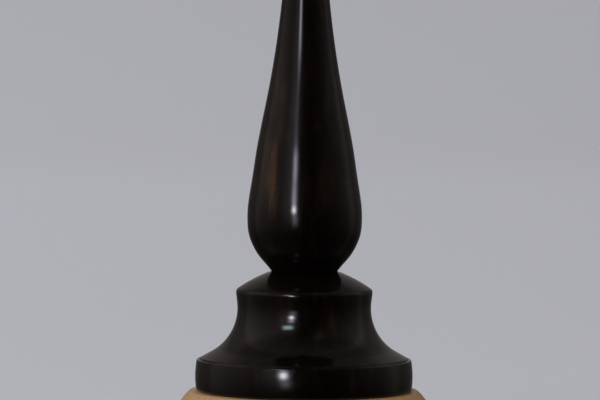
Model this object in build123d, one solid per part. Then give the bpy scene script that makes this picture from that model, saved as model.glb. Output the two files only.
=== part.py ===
"""Take-apart bottom-whorl drop spindle, lathe-turned, standing on its whorl.

A dark hardwood shaft swells into a teardrop above a flared collar of the same wood. The shaft's tenon
is glued through the collar and runs on below it as a tapered spigot, which jams into the bore of a pale
hardwood whorl. A brass ferrule caps the shaft's tip and a bent brass wire hook stands in it on the axis.

Millimetres, +Z up. The origin is the centre of the face that the whorl stands on.
Radii are measured from the spindle's axis, and every turned piece is revolved about Z.
"""

from build123d import *
import math
import os

# ---- Driving dimensions -------------------------------------------------------------------------

WHORL_RADIUS = 26.0
WHORL_HEIGHT = 16.0
COLLAR_RADIUS = 21.8
COLLAR_HEIGHT = 24.0
TEARDROP_RADIUS = 11.48
NECK_RADIUS = 6.6
SHAFT_TOP = 250.0
WIRE_RADIUS = 0.8

# ---- Whorl --------------------------------------------------------------------------------------

RIM_DEPTH = 6.75  # from the whorl's top face down to its widest circle
RIM_ARC_RADIUS = 8.75  # the rounded edge above that circle
FOOT_RADIUS = 20.5
DISH_RADIUS = 17.5
DISH_DEPTH = 0.9
DISH_FLOOR_RADIUS = 9.0
GROOVE_RADII = (14.6, 13.4)  # two lines scribed round the dish
GROOVE_HALF_WIDTH = 0.28
GROOVE_DEPTH = 0.4
EASED_EDGE = 0.35

# ---- Taper joint between the shaft and the whorl ------------------------------------------------

TENON_RADIUS = 5.5
SPIGOT_END_RADIUS = 5.0
SPIGOT_END_HEIGHT = 1.3
FIT_CLEARANCE = 0.03
SPIGOT_CHAMFER = 0.5

# ---- Collar, heights above the whorl ------------------------------------------------------------

BAND_HEIGHT = 6.3
BAND_MIDDLE = 2.9  # where the barrel-shaped band is widest
BARREL_RADIUS = 18.0
BAND_SHOULDER = 21.05  # radius where the band's rounded shoulder meets the quirk
BAND_ROUNDING = 0.3
BAND_EASING = 0.3
QUIRK_WIDTH = 0.35  # the fine line cut between band and cove
QUIRK_DEPTH = 0.22
COVE_RADIUS = 10.1
COVE_WAIST_RADIUS = 13.38
COVE_WAIST_HEIGHT = 16.6
COVE_TURN = 60.5  # degrees that the cove turns from upright to its flank
LIP_TURN = 7.0  # degrees that it turns outward again above its waist, under the rim
RIM_HEIGHT = 20.2
RIM_ROUNDING = 1.0
DOME_RADIUS = 30.0
UNDERCUT_RADIUS = 17.0
UNDERCUT_DEPTH = 0.25

# ---- Shaft, heights above the whorl -------------------------------------------------------------

TEARDROP_HEIGHT = 35.0  # its widest circle
NECK_SLOPE = 36.0  # degrees from upright at which the teardrop leaves the neck
SWELLING = [(7.76, 25.4), (9.12, 27.0), (10.83, 30.2)]  # between the neck and the widest circle
TAPER = [(10.72, 41.4), (10.03, 46.2), (8.82, 53.0), (7.57, 59.2), (5.52, 71.8), (4.05, 87.0)]  # up to the stem
STEM_RADIUS = 3.7
STEM_HEIGHT = 105.0
STEM_TIP_RADIUS = 3.2

# ---- Ferrule and hook ---------------------------------------------------------------------------

FERRULE_RADIUS = 3.75
FERRULE_LENGTH = 9.0
FERRULE_WALL = 0.7
FERRULE_CAP = 1.0
FERRULE_BEAD = 1.2  # height of the plain band below its scribed line
SHANK_DEPTH = 16.0
HOOK_RISE = 1.6  # straight wire above the ferrule
HOOK_BEND_RADIUS = 1.8
HOOK_LOOP_RADIUS = 4.3
HOOK_END_ANGLE = -38.0  # degrees, where the loop stops short of the stem

FERRULE_BOTTOM = SHAFT_TOP + FERRULE_CAP - FERRULE_LENGTH
FERRULE_TENON_RADIUS = FERRULE_RADIUS - FERRULE_WALL


def at(radius, height):
    """A point of an outline, drawn in the XZ plane."""
    return (radius, 0, height)


def lines(*points):
    """Straight edges through outline points, in order."""
    return [Line(at(*a), at(*b)) for a, b in zip(points, points[1:])]


def turned(edges):
    """The solid that a closed outline makes when it is turned about Z."""
    return revolve(make_face(edges), Axis.Z, 360)


def arc_about(centre, radius, start_degrees, end_degrees):
    """An arc of the XZ plane about an outline point. Angles run from +X towards +Z."""
    angles = [math.radians(start_degrees + (end_degrees - start_degrees) * share) for share in (0, 0.5, 1)]
    points = [at(centre[0] + radius * math.cos(a), centre[1] + radius * math.sin(a)) for a in angles]
    return ThreePointArc(*points)


def bulged(start, end, radius):
    """An arc from start to end that bulges away from the axis and upward."""
    run, rise = end[0] - start[0], end[1] - start[1]
    chord = math.hypot(run, rise)
    sagitta = radius - math.sqrt(radius**2 - (chord / 2) ** 2)
    outward = (rise / chord, -run / chord)
    if outward[1] < 0:
        outward = (-outward[0], -outward[1])
    middle = ((start[0] + end[0]) / 2 + outward[0] * sagitta, (start[1] + end[1]) / 2 + outward[1] * sagitta)
    return ThreePointArc(at(*start), at(*middle), at(*end))


def circles_at(solid, radius, height, reach=0.05):
    """The solid's circular edges of that radius at that height."""
    found = solid.edges().filter_by(GeomType.CIRCLE)
    return [e for e in found if abs(e.radius - radius) < reach and abs(e.center().Z - height) < reach]


def spigot_radius(height):
    """Radius of the taper at a height above the foot."""
    share = (height - SPIGOT_END_HEIGHT) / (WHORL_HEIGHT - SPIGOT_END_HEIGHT)
    return SPIGOT_END_RADIUS + (TENON_RADIUS - SPIGOT_END_RADIUS) * share


def make_whorl():
    """Pale disc with a full rounded edge, a tapered bore, and a dished foot with two scribed lines."""
    widest_height = WHORL_HEIGHT - RIM_DEPTH
    arc_centre = (WHORL_RADIUS - RIM_ARC_RADIUS, widest_height)
    top_flat = arc_centre[0] + math.sqrt(RIM_ARC_RADIUS**2 - RIM_DEPTH**2)
    top_angle = math.degrees(math.acos((top_flat - arc_centre[0]) / RIM_ARC_RADIUS))
    inset = WHORL_RADIUS - FOOT_RADIUS
    under_radius = (widest_height**2 + inset**2) / (2 * inset)
    under_angle = math.degrees(math.asin(widest_height / under_radius))
    bore_top = spigot_radius(WHORL_HEIGHT) + FIT_CLEARANCE
    bore_bottom = spigot_radius(DISH_DEPTH) + FIT_CLEARANCE
    edges = lines((bore_bottom, DISH_DEPTH), (bore_top, WHORL_HEIGHT), (top_flat, WHORL_HEIGHT))
    edges.append(arc_about(arc_centre, RIM_ARC_RADIUS, top_angle, 0))
    edges.append(arc_about((WHORL_RADIUS - under_radius, widest_height), under_radius, 0, -under_angle))
    edges += lines(
        (FOOT_RADIUS, 0),
        (DISH_RADIUS, 0),
        (DISH_FLOOR_RADIUS, DISH_DEPTH),
        (bore_bottom, DISH_DEPTH),
    )
    whorl = turned(edges)
    for radius in GROOVE_RADII:
        floor = DISH_DEPTH * (DISH_RADIUS - radius) / (DISH_RADIUS - DISH_FLOOR_RADIUS)
        whorl -= turned(
            lines(
                (radius - GROOVE_HALF_WIDTH, floor - GROOVE_DEPTH),
                (radius, floor + GROOVE_DEPTH),
                (radius + GROOVE_HALF_WIDTH, floor - GROOVE_DEPTH),
                (radius - GROOVE_HALF_WIDTH, floor - GROOVE_DEPTH),
            )
        )
    eased = circles_at(whorl, top_flat, WHORL_HEIGHT) + circles_at(whorl, FOOT_RADIUS, 0)
    return fillet(eased, EASED_EDGE)


def make_collar():
    """Dark flared collar: a barrel-shaped band, a fine quirk, a cove, a rounded rim and a low dome."""
    base = WHORL_HEIGHT
    band_top = base + BAND_HEIGHT
    dome_top = base + COLLAR_HEIGHT
    turn = math.radians(COVE_TURN)
    lip_turn = math.radians(LIP_TURN)
    cove_centre = (COVE_WAIST_RADIUS + COVE_RADIUS, base + COVE_WAIST_HEIGHT)
    cove_foot = (
        cove_centre[0] - COVE_RADIUS * math.cos(turn),
        cove_centre[1] - COVE_RADIUS * math.sin(turn),
    )
    cove_lip = (
        cove_centre[0] - COVE_RADIUS * math.cos(lip_turn),
        cove_centre[1] + COVE_RADIUS * math.sin(lip_turn),
    )
    rim = (cove_lip[0] + (base + RIM_HEIGHT - cove_lip[1]) * math.tan(lip_turn), base + RIM_HEIGHT)
    quirk_inside = BAND_SHOULDER - QUIRK_WIDTH
    flank_end = (quirk_inside, cove_foot[1] - (quirk_inside - cove_foot[0]) / math.tan(turn))
    barrel_centre = (COLLAR_RADIUS - BARREL_RADIUS, base + BAND_MIDDLE)
    barrel_low = -math.degrees(math.asin(BAND_MIDDLE / BARREL_RADIUS))
    barrel_high = math.degrees(math.asin((BAND_HEIGHT - BAND_MIDDLE) / BARREL_RADIUS))
    foot_edge = barrel_centre[0] + BARREL_RADIUS * math.cos(math.radians(barrel_low))
    top_edge = barrel_centre[0] + BARREL_RADIUS * math.cos(math.radians(barrel_high))
    edges = lines(
        (NECK_RADIUS, dome_top),
        (TENON_RADIUS, dome_top),
        (TENON_RADIUS, base + UNDERCUT_DEPTH),
        (UNDERCUT_RADIUS, base + UNDERCUT_DEPTH),
        (UNDERCUT_RADIUS, base),
        (foot_edge, base),
    )
    edges.append(arc_about(barrel_centre, BARREL_RADIUS, barrel_low, barrel_high))
    edges += lines(
        (top_edge, band_top),
        (BAND_SHOULDER, band_top),
        (BAND_SHOULDER - QUIRK_WIDTH / 2, band_top - QUIRK_DEPTH),
        flank_end,
        cove_foot,
    )
    edges.append(arc_about(cove_centre, COVE_RADIUS, 180 + COVE_TURN, 180 - LIP_TURN))
    edges += lines(cove_lip, rim)
    edges.append(bulged(rim, (NECK_RADIUS, dome_top), DOME_RADIUS))
    collar = turned(edges)
    collar = fillet(circles_at(collar, foot_edge, base), BAND_EASING)
    collar = fillet(circles_at(collar, top_edge, band_top), BAND_ROUNDING)
    return fillet(circles_at(collar, *rim), RIM_ROUNDING)


def make_shaft():
    """Dark shaft in one piece: stem, teardrop, tenon through the collar, and tapered spigot."""
    base = WHORL_HEIGHT
    neck = base + COLLAR_HEIGHT
    slope = math.radians(NECK_SLOPE)
    widest = (TEARDROP_RADIUS, base + TEARDROP_HEIGHT)
    stem_foot = (STEM_RADIUS, base + STEM_HEIGHT)
    lower = [(NECK_RADIUS, neck)] + [(r, base + h) for r, h in SWELLING] + [widest]
    upper = [widest] + [(r, base + h) for r, h in TAPER] + [stem_foot]
    stem_run = (STEM_TIP_RADIUS - STEM_RADIUS, FERRULE_BOTTOM - base - STEM_HEIGHT)
    upright = (0, 0, 1)
    edges = [
        Spline([at(*p) for p in lower], tangents=[(math.sin(slope), 0, math.cos(slope)), upright]),
        Spline([at(*p) for p in upper], tangents=[upright, (stem_run[0], 0, stem_run[1])]),
    ]
    edges += lines(
        stem_foot,
        (STEM_TIP_RADIUS, FERRULE_BOTTOM),
        (FERRULE_TENON_RADIUS, FERRULE_BOTTOM),
        (FERRULE_TENON_RADIUS, SHAFT_TOP),
        (WIRE_RADIUS, SHAFT_TOP),
        (WIRE_RADIUS, SHAFT_TOP - SHANK_DEPTH),
        (0, SHAFT_TOP - SHANK_DEPTH),
        (0, SPIGOT_END_HEIGHT),
        (SPIGOT_END_RADIUS, SPIGOT_END_HEIGHT),
        (TENON_RADIUS, base),
        (TENON_RADIUS, neck),
        (NECK_RADIUS, neck),
    )
    shaft = turned(edges)
    return chamfer(circles_at(shaft, SPIGOT_END_RADIUS, SPIGOT_END_HEIGHT), SPIGOT_CHAMFER)


def make_ferrule():
    """Brass cap over the shaft's tip, with a scribed line near its open end and a hole for the wire."""
    top = SHAFT_TOP + FERRULE_CAP
    line = FERRULE_BOTTOM + FERRULE_BEAD
    half = FERRULE_WALL / 3
    edges = lines(
        (FERRULE_TENON_RADIUS, FERRULE_BOTTOM),
        (FERRULE_RADIUS, FERRULE_BOTTOM),
        (FERRULE_RADIUS, line - half),
        (FERRULE_RADIUS - half, line),
        (FERRULE_RADIUS, line + half),
        (FERRULE_RADIUS, top),
        (WIRE_RADIUS, top),
        (WIRE_RADIUS, SHAFT_TOP),
        (FERRULE_TENON_RADIUS, SHAFT_TOP),
        (FERRULE_TENON_RADIUS, FERRULE_BOTTOM),
    )
    ferrule = turned(edges)
    ferrule = fillet(circles_at(ferrule, FERRULE_RADIUS, top), FERRULE_CAP * 0.8)
    return fillet(circles_at(ferrule, FERRULE_RADIUS, FERRULE_BOTTOM), FERRULE_WALL / 3)


def make_hook():
    """Bent brass wire: a shank on the axis, a small reverse bend, and an open loop centred on the axis."""
    shank_foot = SHAFT_TOP - SHANK_DEPTH
    bend_height = SHAFT_TOP + FERRULE_CAP + HOOK_RISE
    loop_height = bend_height + math.sqrt(HOOK_LOOP_RADIUS**2 + 2 * HOOK_LOOP_RADIUS * HOOK_BEND_RADIUS)
    turn = math.degrees(math.atan2(loop_height - bend_height, HOOK_BEND_RADIUS))
    path = Wire(
        [
            Line(at(0, shank_foot), at(0, bend_height)),
            arc_about((-HOOK_BEND_RADIUS, bend_height), HOOK_BEND_RADIUS, 0, turn),
            arc_about((0, loop_height), HOOK_LOOP_RADIUS, 180 + turn, HOOK_END_ANGLE),
        ]
    )
    section = Plane.XY.offset(shank_foot) * Circle(WIRE_RADIUS)
    return sweep(section, path)


def main():
    """Writes one STEP for each piece of the spindle."""
    os.makedirs("parts", exist_ok=True)
    pieces = {
        "whorl": make_whorl(),
        "collar": make_collar(),
        "shaft": make_shaft(),
        "ferrule": make_ferrule(),
        "hook": make_hook(),
    }
    for node, solid in pieces.items():
        export_step(solid, f"parts/{node}.step")


main()
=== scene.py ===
"""Looks of a take-apart drop spindle: dark and pale turned hardwood, a brass ferrule and a wire hook.

Metres, +Z up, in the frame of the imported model. The wooden pieces and the ferrule are surfaces of
revolution. Each is turned again at a fine pitch from the outline that its CAD node has along its seam.
"""

import math

import bmesh
import bpy
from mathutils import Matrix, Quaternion, Vector


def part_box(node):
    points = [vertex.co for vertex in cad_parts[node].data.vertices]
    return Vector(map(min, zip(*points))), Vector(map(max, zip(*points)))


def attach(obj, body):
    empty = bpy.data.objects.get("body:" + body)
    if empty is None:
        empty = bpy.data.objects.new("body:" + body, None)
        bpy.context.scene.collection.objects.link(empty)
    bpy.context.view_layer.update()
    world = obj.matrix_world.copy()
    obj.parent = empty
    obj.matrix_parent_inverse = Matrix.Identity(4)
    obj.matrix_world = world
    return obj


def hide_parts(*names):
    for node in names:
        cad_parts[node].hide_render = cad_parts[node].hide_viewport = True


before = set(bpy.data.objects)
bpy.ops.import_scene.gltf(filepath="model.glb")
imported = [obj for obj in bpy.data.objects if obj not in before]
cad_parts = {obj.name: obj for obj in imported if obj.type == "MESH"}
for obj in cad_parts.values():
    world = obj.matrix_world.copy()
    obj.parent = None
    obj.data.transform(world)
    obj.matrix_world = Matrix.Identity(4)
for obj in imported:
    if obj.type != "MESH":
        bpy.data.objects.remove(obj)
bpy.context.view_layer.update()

MM = 0.001

# ---- Camera -------------------------------------------------------------------------------------

CAMERA_DISTANCE = 0.75  # from the spindle's axis
CAMERA_RISE = 0.073  # above the collar's foot
VIEW_WIDTH = 0.12  # what the frame takes in at the spindle's axis
VIEW_CENTRE_RISE = 0.0382  # above the collar's foot
VIEW_CENTRE_LEFT = 0.00096  # of the spindle's axis
SENSOR_WIDTH = 36.0
CAMERA_ROLL = math.radians(0.3)
CAMERA_NEAREST = 0.01
CAMERA_FARTHEST = 20

# ---- Turning ------------------------------------------------------------------------------------

SEAM_TOLERANCE = 1e-6
SEAM_DECIMALS = 7  # seam points that agree to this many decimals of a metre are one
SEGMENTS = 256  # round a turned piece
LONGEST_STEP = 1.5 * MM  # along an outline
LARGEST_TURN = math.radians(3)
CORNER_TURN = math.radians(20)
CORNER_EASING = 0.12 * MM
CORNER_SHARE = 0.45  # of a neighbouring run that an eased corner may take up
CORNER_POINTS = 5


# ---- Camera first -------------------------------------------------------------------------------

collar_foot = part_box("collar")[0].z


def aim(thing, target):
    """Points a camera's or a light's -Z axis at a target."""
    thing.rotation_mode = "QUATERNION"
    thing.rotation_quaternion = (Vector(target) - thing.location).to_track_quat("-Z", "Y")


def make_camera():
    """A long lens a little above the collar's foot, square on to the spindle's front."""
    data = bpy.data.cameras.new("camera")
    data.sensor_width = SENSOR_WIDTH
    target = Vector((-VIEW_CENTRE_LEFT, 0, collar_foot + VIEW_CENTRE_RISE))
    camera = bpy.data.objects.new("camera", data)
    camera.location = (-VIEW_CENTRE_LEFT, -CAMERA_DISTANCE, collar_foot + CAMERA_RISE)
    data.lens = SENSOR_WIDTH * (target - camera.location).length / VIEW_WIDTH
    data.clip_start = CAMERA_NEAREST
    data.clip_end = CAMERA_FARTHEST
    aim(camera, target)
    camera.rotation_quaternion = camera.rotation_quaternion @ Quaternion((0, 0, 1), CAMERA_ROLL)
    bpy.context.scene.collection.objects.link(camera)
    bpy.context.scene.camera = camera


make_camera()


# ---- Outlines of the turned CAD nodes -----------------------------------------------------------


def seam_links(node):
    """Which (radius, height) points of a turned node's seam are joined by an edge of its mesh."""
    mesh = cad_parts[node].data
    on_seam = {}
    for v in mesh.vertices:
        if abs(v.co.y) < SEAM_TOLERANCE and v.co.x > -SEAM_TOLERANCE:
            on_seam[v.index] = (round(v.co.x, SEAM_DECIMALS), round(v.co.z, SEAM_DECIMALS))
    links = {point: set() for point in on_seam.values()}
    for edge in mesh.edges:
        a, b = (on_seam.get(i) for i in edge.vertices)
        if a and b and a != b:
            links[a].add(b)
            links[b].add(a)
    return links


def join_faces(links):
    """Joins the open ends of a seam that face each other across a flat face, which has no seam."""
    ends = sorted(point for point, near in links.items() if len(near) == 1)
    for a in ends:
        level = [b for b in ends if b != a and abs(b[1] - a[1]) < SEAM_TOLERANCE and len(links[b]) == 1]
        if level and len(links[a]) == 1:
            nearest = min(level, key=lambda b: abs(b[0] - a[0]))
            links[a].add(nearest)
            links[nearest].add(a)
    return links


def outline_of(node):
    """A turned node's section as (radius, height) points in order, and whether it closes on itself."""
    links = join_faces(seam_links(node))
    ends = sorted((point for point, near in links.items() if len(near) == 1), key=lambda p: p[1])
    start = ends[0] if ends else min(links)
    walked, here = [start], start
    seen = {start}
    while True:
        onward = [p for p in links[here] if p not in seen]
        if not onward:
            break
        here = min(onward)
        seen.add(here)
        walked.append(here)
    if len(walked) != len(links):
        raise RuntimeError(f"{node}: walked {len(walked)} of {len(links)} seam points")
    points = [Vector(p) for p in walked]
    if ends:
        points = [Vector((0, points[0].y))] + points + [Vector((0, points[-1].y))]
    return points, not ends


# ---- Smooth outlines ----------------------------------------------------------------------------


def turn_between(a, b):
    """Signed angle from direction a to direction b."""
    return math.atan2(a.x * b.y - a.y * b.x, a.dot(b))


def turned_by(direction, angle):
    """A direction turned through an angle."""
    c, s = math.cos(angle), math.sin(angle)
    return Vector((c * direction.x - s * direction.y, s * direction.x + c * direction.y))


def hermite(a, b, along_a, along_b, steps):
    """Points from a up to b, without b, on the curve that leaves and arrives in the two directions."""
    chord = (b - a).length
    made = []
    for i in range(steps):
        t = i / steps
        made.append(
            a * (2 * t**3 - 3 * t**2 + 1)
            + along_a * chord * (t**3 - 2 * t**2 + t)
            + b * (3 * t**2 - 2 * t**3)
            + along_b * chord * (t**3 - t**2)
        )
    return made


def smoothed(points, closed):
    """The outline through the same points with smooth curves between its corners."""
    count = len(points)
    spans = count if closed else count - 1
    runs = [points[(i + 1) % count] - points[i] for i in range(spans)]
    turns = {}
    for i in range(count):
        if closed or 0 < i < count - 1:
            turns[i] = turn_between(runs[i - 1], runs[i % spans])
    corner = [i not in turns or abs(turns[i]) > CORNER_TURN for i in range(count)]
    made, corners = [], set()
    for i in range(spans):
        j = (i + 1) % count
        run = runs[i]
        chord = run.normalized()
        start = end = None
        if not corner[i]:
            before = runs[i - 1].length
            start = turned_by(chord, -turns[i] * run.length / (run.length + before))
        if not corner[j]:
            after = runs[j % spans].length
            end = turned_by(chord, turns[j] * run.length / (run.length + after))
        if start is None:
            start = turned_by(chord, -turn_between(chord, end)) if end is not None else chord
        if end is None:
            end = turned_by(chord, turn_between(start, chord))
        bend = abs(turn_between(start, end))
        steps = max(1, math.ceil(run.length / LONGEST_STEP), math.ceil(bend / LARGEST_TURN))
        if corner[i] and (closed or i > 0):
            corners.add(len(made))
        made += hermite(points[i], points[j], start, end, steps)
    if not closed:
        made.append(points[-1])
    return made, corners


def eased(points, corners):
    """The outline with a small rounding at each corner."""
    made = []
    count = len(points)
    for i, point in enumerate(points):
        if i not in corners:
            made.append(point)
            continue
        back = points[i - 1] - point
        onward = points[(i + 1) % count] - point
        reach = min(CORNER_EASING, CORNER_SHARE * back.length, CORNER_SHARE * onward.length)
        a = point + back.normalized() * reach
        b = point + onward.normalized() * reach
        for step in range(CORNER_POINTS):
            t = step / (CORNER_POINTS - 1)
            made.append(a * (1 - t) ** 2 + point * 2 * t * (1 - t) + b * t**2)
    return made


def turned_mesh(name, points, closed):
    """A closed mesh of revolution about Z. Points on the axis become poles."""
    bm = bmesh.new()
    rings = []
    for point in points:
        if point.x < SEAM_TOLERANCE:
            rings.append([bm.verts.new((0, 0, point.y))])
            continue
        ring = []
        for k in range(SEGMENTS):
            angle = 2 * math.pi * k / SEGMENTS
            across, deep = point.x * math.cos(angle), point.x * math.sin(angle)
            ring.append(bm.verts.new((across, deep, point.y)))
        rings.append(ring)
    pairs = list(zip(rings, rings[1:]))
    if closed:
        pairs.append((rings[-1], rings[0]))
    for low, high in pairs:
        for k in range(SEGMENTS):
            n = (k + 1) % SEGMENTS
            if len(low) == 1:
                bm.faces.new((low[0], high[n], high[k]))
            elif len(high) == 1:
                bm.faces.new((low[k], low[n], high[0]))
            else:
                bm.faces.new((low[k], low[n], high[n], high[k]))
    bmesh.ops.recalc_face_normals(bm, faces=bm.faces)
    mesh = bpy.data.meshes.new(name)
    bm.to_mesh(mesh)
    bm.free()
    mesh.polygons.foreach_set("use_smooth", [True] * len(mesh.polygons))
    return mesh


def turned_piece(name, node, body, material):
    """Stands a finely turned piece in a CAD node's place."""
    points, closed = outline_of(node)
    points, corners = smoothed(points, closed)
    points = eased(points, corners)
    piece = bpy.data.objects.new(name, turned_mesh(name, points, closed))
    bpy.context.scene.collection.objects.link(piece)
    piece.data.materials.append(material)
    crisp = piece.modifiers.new("crisp", "WEIGHTED_NORMAL")
    crisp.weight = 100
    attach(piece, body)
    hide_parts(node)


# ---- Materials ----------------------------------------------------------------------------------


def add(tree, kind, inputs=None, **settings):
    """A shader node with its inputs set or linked. Inputs are named or numbered."""
    made = tree.nodes.new("ShaderNode" + kind)
    for key, value in settings.items():
        setattr(made, key, value)
    for key, value in (inputs or {}).items():
        if isinstance(value, bpy.types.NodeSocket):
            tree.links.new(value, made.inputs[key])
        else:
            made.inputs[key].default_value = value
    return made


def math_of(tree, operation, a, b=0.5, clamp=False):
    """One Math node's result."""
    return add(tree, "Math", {0: a, 1: b}, operation=operation, use_clamp=clamp).outputs[0]


def ramp(tree, factor, stops):
    """A colour ramp. Stops are (position, colour) with the colour as one number or three."""
    made = add(tree, "ValToRGB", {"Fac": factor})
    elements = made.color_ramp.elements
    while len(elements) < len(stops):
        elements.new(0.5)
    for element, (position, colour) in zip(elements, stops):
        element.position = position
        element.color = (*colour, 1) if isinstance(colour, tuple) else (colour, colour, colour, 1)
    return made.outputs["Color"]


def mixed(tree, factor, a, b, blend="MIX"):
    """Two colours mixed by a factor."""
    made = add(tree, "Mix", data_type="RGBA", blend_type=blend)
    for index, value in ((0, factor), (6, a), (7, b)):
        if isinstance(value, bpy.types.NodeSocket):
            tree.links.new(value, made.inputs[index])
        else:
            made.inputs[index].default_value = (*value, 1) if isinstance(value, tuple) else value
    return made.outputs[2]


def noise(tree, place, scale, detail=3.0, roughness=0.55):
    """A noise texture's value at a place."""
    inputs = {"Vector": place, "Scale": scale, "Detail": detail, "Roughness": roughness}
    return add(tree, "TexNoise", inputs).outputs["Fac"]


def millimetres(tree, stretch=(1, 1, 1), turn=(0, 0, 0), shift=(0, 0, 0)):
    """The piece's own coordinates in millimetres, each axis divided by its stretch."""
    place = add(tree, "TexCoord").outputs["Object"]
    scale = tuple(1 / (MM * s) for s in stretch)
    turned = add(tree, "Mapping", {"Vector": place, "Rotation": turn}).outputs[0]
    return add(tree, "Mapping", {"Vector": turned, "Scale": scale, "Location": shift}).outputs[0]


def new_material(name):
    """A material with an untouched Principled shader. Returns the material, its tree and the shader."""
    material = bpy.data.materials.new(name)
    material.use_nodes = True
    tree = material.node_tree
    return material, tree, tree.nodes["Principled BSDF"]


def feed(tree, shader, **values):
    """Sets or links the shader's inputs. Underscores stand for spaces."""
    for key, value in values.items():
        socket = shader.inputs[key.replace("_", " ")]
        if isinstance(value, bpy.types.NodeSocket):
            tree.links.new(value, socket)
        else:
            socket.default_value = value


def bump(tree, height, strength, distance, under=None):
    """A bump's normal, on top of another one if given."""
    inputs = {"Height": height, "Strength": strength, "Distance": distance}
    if under is not None:
        inputs["Normal"] = under
    return add(tree, "Bump", inputs).outputs[0]


GRAIN_STRETCH = (1, 1, 22)  # of the dark wood, along the spindle
STREAK_WANDER = 2.4  # mm that a coloured layer wanders in all from its plane
STREAK_SIDE_EDGE = 1.5  # crispness of its sides and of its ends
STREAK_END_EDGE = 2.0
WHORL_GRAIN_STRETCH = (1, 1, 14)
WHORL_PITH = (38, 9, 0)  # mm, outside the whorl
WHORL_LAYER = 2.1  # mm from one growth layer to the next
WHORL_LAYER_WANDER = 9
WHORL_WIDTH = 52  # mm


def growth_layers(tree, place, pith, spacing, wander):
    """A saw between 0 and 1 that climbs across each growth layer round a pith outside the piece."""
    drift = noise(tree, place, 0.03, 2.0)
    offset = add(tree, "VectorMath", {0: place, 1: pith}, operation="SUBTRACT").outputs[0]
    flat = add(tree, "VectorMath", {0: offset, 1: (1, 1, 0)}, operation="MULTIPLY").outputs[0]
    radius = add(tree, "VectorMath", {0: flat}, operation="LENGTH").outputs["Value"]
    moved = math_of(tree, "ADD", radius, math_of(tree, "MULTIPLY", drift, wander))
    return math_of(tree, "FRACT", math_of(tree, "DIVIDE", moved, spacing))


def bell(tree, value, middle, reach, edge=1.0):
    """1 at the middle, falling to about a third at the reach. A larger edge makes the fall crisper."""
    away = math_of(tree, "DIVIDE", math_of(tree, "SUBTRACT", value, middle), reach)
    away = math_of(tree, "POWER", math_of(tree, "MULTIPLY", away, away), edge)
    return math_of(tree, "EXPONENT", math_of(tree, "MULTIPLY", away, -1.0))


def colour_streaks(tree, streaks):
    """Coloured growth layers. Each lies in a plane that faces a bearing, over part of the height."""
    place = millimetres(tree)
    along = millimetres(tree, stretch=GRAIN_STRETCH)
    drift = math_of(tree, "SUBTRACT", noise(tree, along, 0.25, 2.0), 0.5)
    drift = math_of(tree, "MULTIPLY", drift, STREAK_WANDER)
    x, y, z = add(tree, "SeparateXYZ", {0: place}).outputs
    total = 0.0
    for bearing, distance, thickness, height, reach, strength in streaks:
        a = math.radians(bearing)
        across = math_of(tree, "MULTIPLY", x, math.cos(a))
        across = math_of(tree, "ADD", across, math_of(tree, "MULTIPLY", y, math.sin(a)))
        layer = bell(tree, math_of(tree, "ADD", across, drift), distance, thickness, STREAK_SIDE_EDGE)
        layer = math_of(tree, "MULTIPLY", layer, bell(tree, z, height, reach, STREAK_END_EDGE))
        total = math_of(tree, "ADD", math_of(tree, "MULTIPLY", layer, strength), total)
    return total


def dark_hardwood(name, streaks):
    """Near-black hardwood with red-brown mottling and a few brown streaks, under a clear polish."""
    material, tree, shader = new_material(name)
    along = millimetres(tree, stretch=GRAIN_STRETCH)
    fibres = noise(tree, along, 2.3, 4.0, 0.7)
    wisps = ramp(tree, noise(tree, along, 1.1, 3.0, 0.6), [(0.36, 0.5), (0.56, 1.0)])
    red = math_of(tree, "MULTIPLY", colour_streaks(tree, streaks), wisps, clamp=True)
    mottle = noise(tree, millimetres(tree, stretch=(1, 1, 4)), 0.8, 3.0, 0.65)
    ground = mixed(tree, fibres, (0.0008, 0.0005, 0.0004), (0.0050, 0.0022, 0.0014))
    mottled = ramp(tree, mottle, [(0.52, 0.0), (0.68, 1.0)])
    ground = mixed(tree, mottled, ground, (0.0092, 0.0041, 0.0024))
    colour = mixed(tree, red, ground, (0.046, 0.0215, 0.0095))
    pores = noise(tree, millimetres(tree, stretch=(1, 1, 9)), 6.5, 2.0)
    pore_pits = ramp(tree, pores, [(0.3, 0.0), (0.42, 1.0)])
    rings = noise(tree, millimetres(tree, stretch=(400, 400, 1)), 1.4, 2.0)
    feed(
        tree,
        shader,
        Base_Color=mixed(tree, pore_pits, (0.0005, 0.0004, 0.0004), colour),
        Roughness=ramp(tree, fibres, [(0.2, 0.28), (0.8, 0.42)]),
        Normal=bump(tree, pore_pits, 0.25, 0.03 * MM),
        Specular_IOR_Level=0.03,
        Coat_Weight=1.0,
        Coat_Roughness=0.1,
        Coat_IOR=1.5,
        Coat_Normal=bump(tree, fibres, 0.06, 0.02 * MM, bump(tree, rings, 0.05, 0.02 * MM)),
    )
    return material


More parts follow.
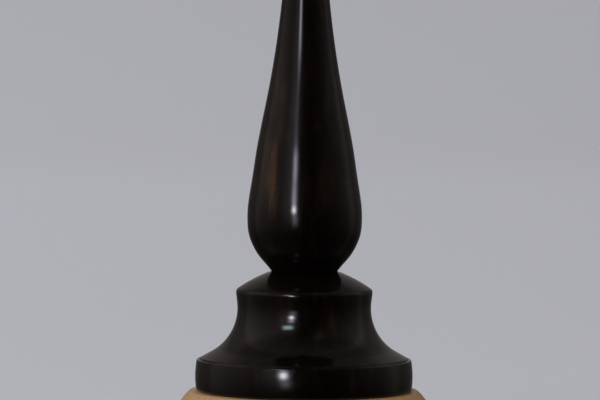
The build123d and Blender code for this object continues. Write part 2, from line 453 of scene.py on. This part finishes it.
def pale_hardwood():
    """Fine pale hardwood cut across the disc, with soft growth lines, flecks and a waxed surface."""
    material, tree, shader = new_material("pale_hardwood")
    quarter_turn = (0, math.pi / 2, 0)
    along = millimetres(tree, stretch=WHORL_GRAIN_STRETCH, turn=quarter_turn)
    layers = growth_layers(tree, along, WHORL_PITH, WHORL_LAYER, WHORL_LAYER_WANDER)
    line = ramp(tree, layers, [(0.0, 0.1), (0.7, 0.35), (0.93, 1.0), (1.0, 0.1)])
    fibres = noise(tree, along, 2.6, 4.0, 0.65)
    clouds = noise(tree, along, 0.12, 3.0)
    colour = mixed(tree, clouds, (0.47, 0.285, 0.142), (0.59, 0.385, 0.205))
    colour = mixed(tree, math_of(tree, "MULTIPLY", line, 0.42), colour, (0.33, 0.17, 0.07))
    colour = mixed(tree, ramp(tree, fibres, [(0.35, 0.5), (0.6, 0.0)]), colour, (0.37, 0.205, 0.092))
    # Painted shade: the whorl turns browner and darker towards +X, its side away from the light.
    place = millimetres(tree, stretch=(WHORL_WIDTH,) * 3, shift=(0.5, 0.5, 0))
    painted_shade_right = ramp(tree, add(tree, "SeparateXYZ", {0: place}).outputs[0], [(0.35, 0.0), (0.9, 1.0)])
    colour = mixed(tree, painted_shade_right, colour, (1.0, 0.86, 0.7), "MULTIPLY")
    fleck_place = millimetres(tree, stretch=(0.5, 1.5, 5), turn=quarter_turn)
    flecks = ramp(tree, noise(tree, fleck_place, 1.5, 1.0), [(0.69, 0.0), (0.74, 0.55)])
    colour = mixed(tree, flecks, colour, (0.25, 0.12, 0.048))
    feed(
        tree,
        shader,
        Base_Color=colour,
        Roughness=ramp(tree, fibres, [(0.3, 0.34), (0.7, 0.5)]),
        Normal=bump(tree, fibres, 0.2, 0.04 * MM),
        Coat_Weight=0.15,
        Coat_Roughness=0.2,
    )
    return material


def brass(name, lines_along):
    """Handled brass: fine lines from the lathe or the draw plate, with a browner tarnish between."""
    material, tree, shader = new_material(name)
    tarnish = noise(tree, millimetres(tree), 0.7, 2.0, 0.5)
    lines = noise(tree, millimetres(tree, stretch=lines_along), 9.0, 2.0)
    tarnished = ramp(tree, tarnish, [(0.38, 0.0), (0.7, 0.75)])
    colour = mixed(tree, tarnished, (0.86, 0.62, 0.27), (0.52, 0.33, 0.13))
    feed(
        tree,
        shader,
        Base_Color=mixed(tree, math_of(tree, "MULTIPLY", lines, 0.25), colour, (0.9, 0.7, 0.36)),
        Metallic=1.0,
        Roughness=ramp(tree, tarnish, [(0.3, 0.2), (0.75, 0.34)]),
        Normal=bump(tree, lines, 0.2, 0.02 * MM),
    )
    return material


# ---- Hook ---------------------------------------------------------------------------------------

HOOK_BEND_RADIUS = 1.8 * MM
HOOK_END_ANGLE = -38.0
HOOK_SIDES = 28
HOOK_STEP = 0.16 * MM
HOOK_SHANK_SHOWN = 3 * MM  # how far the rebuilt wire reaches down into the ferrule
HOOK_END_STEPS = 8
HOOK_END_DOME = 0.6  # height of the cut end's dome, in wire radii


def arc_points(centre, radius, start, end):
    """Points from one angle to another, in degrees, about a centre in the XZ plane."""
    steps = max(2, math.ceil(abs(math.radians(end - start)) * radius / HOOK_STEP))
    angles = [math.radians(start + (end - start) * i / steps) for i in range(steps + 1)]
    return [centre + Vector((radius * math.cos(a), 0, radius * math.sin(a))) for a in angles]


def hook_path(wire, loop):
    """The wire's centreline: the shank, the small reverse bend and the open loop."""
    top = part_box("hook")[1].z
    loop_height = top - loop - wire
    bend_height = loop_height - math.sqrt(loop**2 + 2 * loop * HOOK_BEND_RADIUS)
    turn = math.degrees(math.atan2(loop_height - bend_height, HOOK_BEND_RADIUS))
    path = [Vector((0, 0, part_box("ferrule")[1].z - HOOK_SHANK_SHOWN))]
    path += arc_points(Vector((-HOOK_BEND_RADIUS, 0, bend_height)), HOOK_BEND_RADIUS, 0, turn)
    path += arc_points(Vector((0, 0, loop_height)), loop, 180 + turn, HOOK_END_ANGLE)[1:]
    return path


def wire_rings(path, wire):
    """Centre, direction and radius of each ring of the wire, with its cut end filed to a dome."""
    last = len(path) - 1
    along = [(path[min(i + 1, last)] - path[max(i - 1, 0)]).normalized() for i in range(last + 1)]
    rings = [(point, direction, wire) for point, direction in zip(path, along)]
    end, onward = path[-1], along[-1]
    dome = HOOK_END_DOME * wire
    while (rings[-1][0] - end).length < dome:
        rings.pop()
    for i in range(HOOK_END_STEPS):
        a = math.pi / 2 * i / HOOK_END_STEPS
        rings.append((end - onward * dome * (1 - math.sin(a)), onward, wire * math.cos(a)))
    return rings


def wire_mesh(rings, end):
    """A closed tube through the rings, which lie along the XZ plane, drawn to a point at its end."""
    bm = bmesh.new()
    loops = []
    side = Vector((0, 1, 0))
    angles = [2 * math.pi * k / HOOK_SIDES for k in range(HOOK_SIDES)]
    for point, direction, radius in rings:
        up = direction.cross(side)
        spokes = [side * math.cos(a) + up * math.sin(a) for a in angles]
        loops.append([bm.verts.new(point + spoke * radius) for spoke in spokes])
    for low, high in zip(loops, loops[1:]):
        for k in range(HOOK_SIDES):
            n = (k + 1) % HOOK_SIDES
            bm.faces.new((low[k], low[n], high[n], high[k]))
    bm.faces.new(loops[0])
    tip = bm.verts.new(end)
    for k in range(HOOK_SIDES):
        bm.faces.new((loops[-1][k], loops[-1][(k + 1) % HOOK_SIDES], tip))
    bmesh.ops.recalc_face_normals(bm, faces=bm.faces)
    mesh = bpy.data.meshes.new("hook_wire")
    bm.to_mesh(mesh)
    bm.free()
    mesh.polygons.foreach_set("use_smooth", [True] * len(mesh.polygons))
    return mesh


def make_hook(material):
    """The bent wire, rebuilt on the CAD hook's own width and height."""
    low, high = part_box("hook")
    wire = (high.y - low.y) / 2
    path = hook_path(wire, high.x - wire)
    mesh = wire_mesh(wire_rings(path, wire), path[-1])
    hook = bpy.data.objects.new("hook_wire", mesh)
    bpy.context.scene.collection.objects.link(hook)
    mesh.materials.append(material)
    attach(hook, "spindle")
    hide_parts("hook")


# ---- Pieces -------------------------------------------------------------------------------------

# Bearing that a streak's plane faces (degrees), then its distance from the axis, half thickness, middle
# height and reach along the grain (mm), and its strength.
SHAFT_STREAKS = [
    (180, 6.4, 0.9, 59, 6.8, 1.15),
    (180, 7.9, 0.8, 61, 6, 0.3),
    (180, 5.2, 1.2, 73, 7, 0.3),
    (0, 4.4, 1.6, 58, 4.5, 0.14),
    (0, 4.6, 0.5, 76, 5, 0.25),
    (75, 7.5, 1.0, 57, 14, 0.5),
    (60, 4.5, 0.8, 92, 20, 0.5),
    (110, 2.6, 0.7, 150, 60, 0.45),
]
COLLAR_STREAKS = [
    (0, 5.4, 1.0, 29.8, 2.2, 0.3),
    (180, 4.0, 1.5, 33, 5, 0.06),
    (100, 10.0, 1.2, 26, 8, 0.4),
    (60, 14.0, 1.2, 22, 10, 0.3),
    (150, 16.0, 1.0, 20, 6, 0.3),
]

turned_piece("whorl_turned", "whorl", "whorl", pale_hardwood())
turned_piece(
    "collar_turned",
    "collar",
    "spindle",
    dark_hardwood("dark_hardwood_collar", COLLAR_STREAKS),
)
turned_piece(
    "shaft_turned",
    "shaft",
    "spindle",
    dark_hardwood("dark_hardwood_shaft", SHAFT_STREAKS),
)
turned_piece("ferrule_turned", "ferrule", "spindle", brass("brass_ferrule", (60, 60, 1)))
make_hook(brass("brass_wire", (1, 1, 1)))


# ---- Floor, backdrop and light ------------------------------------------------------------------

STAGE_FLAT_RADIUS = 2.0
STAGE_RADIUS = 3.3
STAGE_HEIGHT = 2.6
STAGE_SEGMENTS = 96
STAGE_FLAT_STEPS = 6
STAGE_BEND_STEPS = 16
STAGE_COLOUR = (0.703, 0.706, 0.768)
# Painted light: paler out from the middle as the soft light falls off, and on the lit left (0) than
# right (1).
STAGE_PAINTED_LIGHT_OUT = [(0.0, 0.885), (0.12, 0.90), (0.22, 0.93), (0.4, 0.985), (1.0, 0.985)]
STAGE_PAINTED_LIGHT_SIDES = [(0.45, 1.0), (0.55, 0.915)]
MIDDLE = Vector((0, 0, 0.06))  # what the soft light is aimed at


def make_stage():
    """A pale floor that curves up all round into a wall, so that no horizon shows."""
    bend = STAGE_RADIUS - STAGE_FLAT_RADIUS
    outline = [(STAGE_FLAT_RADIUS * i / STAGE_FLAT_STEPS, 0) for i in range(1, STAGE_FLAT_STEPS + 1)]
    for i in range(1, STAGE_BEND_STEPS + 1):
        a = math.pi / 2 * i / STAGE_BEND_STEPS
        outline.append((STAGE_FLAT_RADIUS + bend * math.sin(a), bend * (1 - math.cos(a))))
    outline.append((STAGE_RADIUS, STAGE_HEIGHT))
    bm = bmesh.new()
    rings = [[bm.verts.new((0, 0, 0))]]
    angles = [2 * math.pi * k / STAGE_SEGMENTS for k in range(STAGE_SEGMENTS)]
    for radius, height in outline:
        corners = [(radius * math.cos(a), radius * math.sin(a), height) for a in angles]
        rings.append([bm.verts.new(corner) for corner in corners])
    for k in range(STAGE_SEGMENTS):
        n = (k + 1) % STAGE_SEGMENTS
        bm.faces.new((rings[0][0], rings[1][k], rings[1][n]))
        for low, high in zip(rings[1:], rings[2:]):
            bm.faces.new((low[k], high[k], high[n], low[n]))
    mesh = bpy.data.meshes.new("backdrop")
    bm.to_mesh(mesh)
    bm.free()
    mesh.polygons.foreach_set("use_smooth", [True] * len(mesh.polygons))
    backdrop = bpy.data.objects.new("backdrop", mesh)
    bpy.context.scene.collection.objects.link(backdrop)
    material, tree, shader = new_material("backdrop_paper")
    place = add(tree, "TexCoord").outputs["Object"]
    away = add(tree, "VectorMath", {0: place}, operation="LENGTH").outputs["Value"]
    # Painted light: paler away from the middle, and paler on the left side, where the light comes from.
    paper = ramp(tree, math_of(tree, "DIVIDE", away, STAGE_RADIUS), STAGE_PAINTED_LIGHT_OUT)
    across = add(tree, "SeparateXYZ", {0: place}).outputs["X"]
    across = math_of(tree, "ADD", math_of(tree, "DIVIDE", across, 2 * STAGE_RADIUS), 0.5)
    paper = mixed(tree, 1.0, paper, ramp(tree, across, STAGE_PAINTED_LIGHT_SIDES), "MULTIPLY")
    colour = mixed(tree, 1.0, paper, STAGE_COLOUR, "MULTIPLY")
    feed(tree, shader, Base_Color=colour, Roughness=0.9, Specular_IOR_Level=0.1)
    mesh.materials.append(material)
    backdrop.visible_glossy = False
    backdrop.visible_diffuse = False


# The soft light's bearing and elevation: bearing 0 is the camera's side, and positive is to its right.
SOFTBOX_BEARING = math.radians(-50)
SOFTBOX_ELEVATION = math.radians(50)
SOFTBOX_DISTANCE = 2.4
SOFTBOX_SIZE = 1.6
SOFTBOX_ENERGY = 16


def make_softbox():
    """A square soft light aimed at the spindle. It lights matt surfaces only."""
    data = bpy.data.lights.new("softbox", "AREA")
    data.shape = "RECTANGLE"
    data.size = data.size_y = SOFTBOX_SIZE
    data.energy = SOFTBOX_ENERGY
    light = bpy.data.objects.new("softbox", data)
    level = math.cos(SOFTBOX_ELEVATION)
    direction = Vector(
        (
            math.sin(SOFTBOX_BEARING) * level,
            -math.cos(SOFTBOX_BEARING) * level,
            math.sin(SOFTBOX_ELEVATION),
        )
    )
    light.location = MIDDLE + direction * SOFTBOX_DISTANCE
    aim(light, MIDDLE)
    light.visible_camera = False
    light.visible_glossy = False
    bpy.context.scene.collection.objects.link(light)


# The room that the gloss reflects, by bearing: 0.5 is the camera's side, 0.25 the left, 0 and 1 behind.
ROOM_ROUND = [
    (0.0, 0.26),
    (0.028, 0.10),
    (0.083, 0.05),
    (0.16, 0.08),
    (0.19, 0.185),
    (0.25, 0.165),
    (0.37, 0.09),
    (0.44, 0.05),
    (0.475, 0.015),
    (0.5, 0.004),
    (0.57, 0.006),
    (0.63, 0.025),
    (0.69, 0.05),
    (0.77, 0.10),
    (0.81, 0.16),
    (0.85, 0.07),
    (0.92, 0.055),
    (0.972, 0.10),
    (1.0, 0.26),
]
# Its walls by height: 0 is straight down, 0.5 the horizon, 1 straight up.
ROOM_HEIGHT = [
    (0.15, 0.12),
    (0.3, 0.15),
    (0.36, 0.17),
    (0.41, 0.30),
    (0.5, 0.5),
    (0.58, 0.65),
    (0.67, 0.84),
    (0.8, 1.0),
    (0.87, 0.55),
    (0.93, 0.27),
    (1.0, 0.12),
]
ROOM_CEILING = [(0.86, 0.0), (0.95, 0.04), (1.0, 0.06)]
ROOM_WALLS = (2.05, 1.88, 1.80)
# Soft lights in it: bearing and elevation, reach round and up (degrees), crispness of the edge, colour.
ROOM_LIGHTS = {
    "window": ((-21.7, 6.6), (3.9, 3.4), 1.0, (20.5, 20.3, 22.5)),
    "window_top": ((-22.2, 14.2), (4.7, 3.1), 1.0, (5.2, 5.05, 6.3)),
    "window_head": ((-23.8, 20.5), (3.6, 2.6), 1.0, (0.42, 0.41, 0.56)),
    "window_foot": ((-19.5, -2.5), (5.4, 5.0), 1.0, (1.7, 1.58, 1.75)),
    "curtain": ((-34.0, 12.0), (12.0, 17.0), 1.0, (0.20, 0.19, 0.20)),
    "skylight": ((-29.0, 28.0), (9.0, 4.3), 2.0, (4.9, 6.1, 6.3)),
    "far_lamp": ((30.0, 47.0), (13.0, 10.0), 1.0, (0.12, 0.11, 0.09)),
}
# What lights matt surfaces, by bearing.
SKY_ROUND = [
    (0.0, 0.55),
    (0.2, 0.62),
    (0.36, 0.85),
    (0.45, 0.72),
    (0.55, 0.22),
    (0.66, 0.12),
    (0.8, 0.74),
    (1.0, 0.6),
]
SECOND_BOUNCE = 2.5  # ray depths above this see the room in a reflection of a reflection
SECOND_BOUNCE_LOSS = 0.7


def glow(tree, bearing, elevation, light):
    """A soft-edged light of the room."""
    (round_to, up_to), (round_reach, up_reach), edge, colour = light
    across = bell(tree, bearing, round_to, round_reach, edge)
    fall = math_of(tree, "MULTIPLY", across, bell(tree, elevation, up_to, up_reach, edge))
    return add(tree, "VectorMath", {0: colour, "Scale": fall}, operation="SCALE").outputs[0]


def make_world():
    """Gives matt surfaces even light, stronger from the left, and gloss a dim room with soft lights."""
    world = bpy.data.worlds.new("room")
    bpy.context.scene.world = world
    world.use_nodes = True
    world.cycles.sampling_method = "NONE"
    tree = world.node_tree
    direction = add(tree, "TexCoord").outputs["Generated"]
    x, y, z = add(tree, "SeparateXYZ", {0: direction}).outputs
    bearing = math_of(tree, "ARCTAN2", x, math_of(tree, "MULTIPLY", y, -1.0))
    bearing = math_of(tree, "MULTIPLY", bearing, math.degrees(1))
    elevation = math_of(tree, "MULTIPLY", math_of(tree, "ARCSINE", z), math.degrees(1))
    round_place = math_of(tree, "ADD", math_of(tree, "DIVIDE", bearing, 360), 0.5)
    height_place = math_of(tree, "ADD", math_of(tree, "MULTIPLY", z, 0.5), 0.5)
    walls = math_of(
        tree, "MULTIPLY", ramp(tree, round_place, ROOM_ROUND), ramp(tree, height_place, ROOM_HEIGHT)
    )
    room = add(tree, "VectorMath", {0: ROOM_WALLS, "Scale": walls}, operation="SCALE").outputs[0]
    parts = [ramp(tree, height_place, ROOM_CEILING)]
    parts += [glow(tree, bearing, elevation, light) for light in ROOM_LIGHTS.values()]
    for part in parts:
        room = add(tree, "VectorMath", {0: room, 1: part}, operation="ADD").outputs[0]
    path = add(tree, "LightPath").outputs
    # One reflection seen in another is dimmed, more than real polish does, so that it leaves no dots.
    again = math_of(tree, "GREATER_THAN", path["Ray Depth"], SECOND_BOUNCE)
    kept = math_of(tree, "SUBTRACT", 1.0, math_of(tree, "MULTIPLY", again, SECOND_BOUNCE_LOSS))
    room = add(tree, "VectorMath", {0: room, "Scale": kept}, operation="SCALE").outputs[0]
    seen = mixed(tree, path["Is Glossy Ray"], ramp(tree, round_place, SKY_ROUND), room)
    background = tree.nodes["Background"]
    tree.links.new(seen, background.inputs["Color"])


make_stage()
make_softbox()
make_world()
bpy.context.scene.view_settings.view_transform = "Standard"
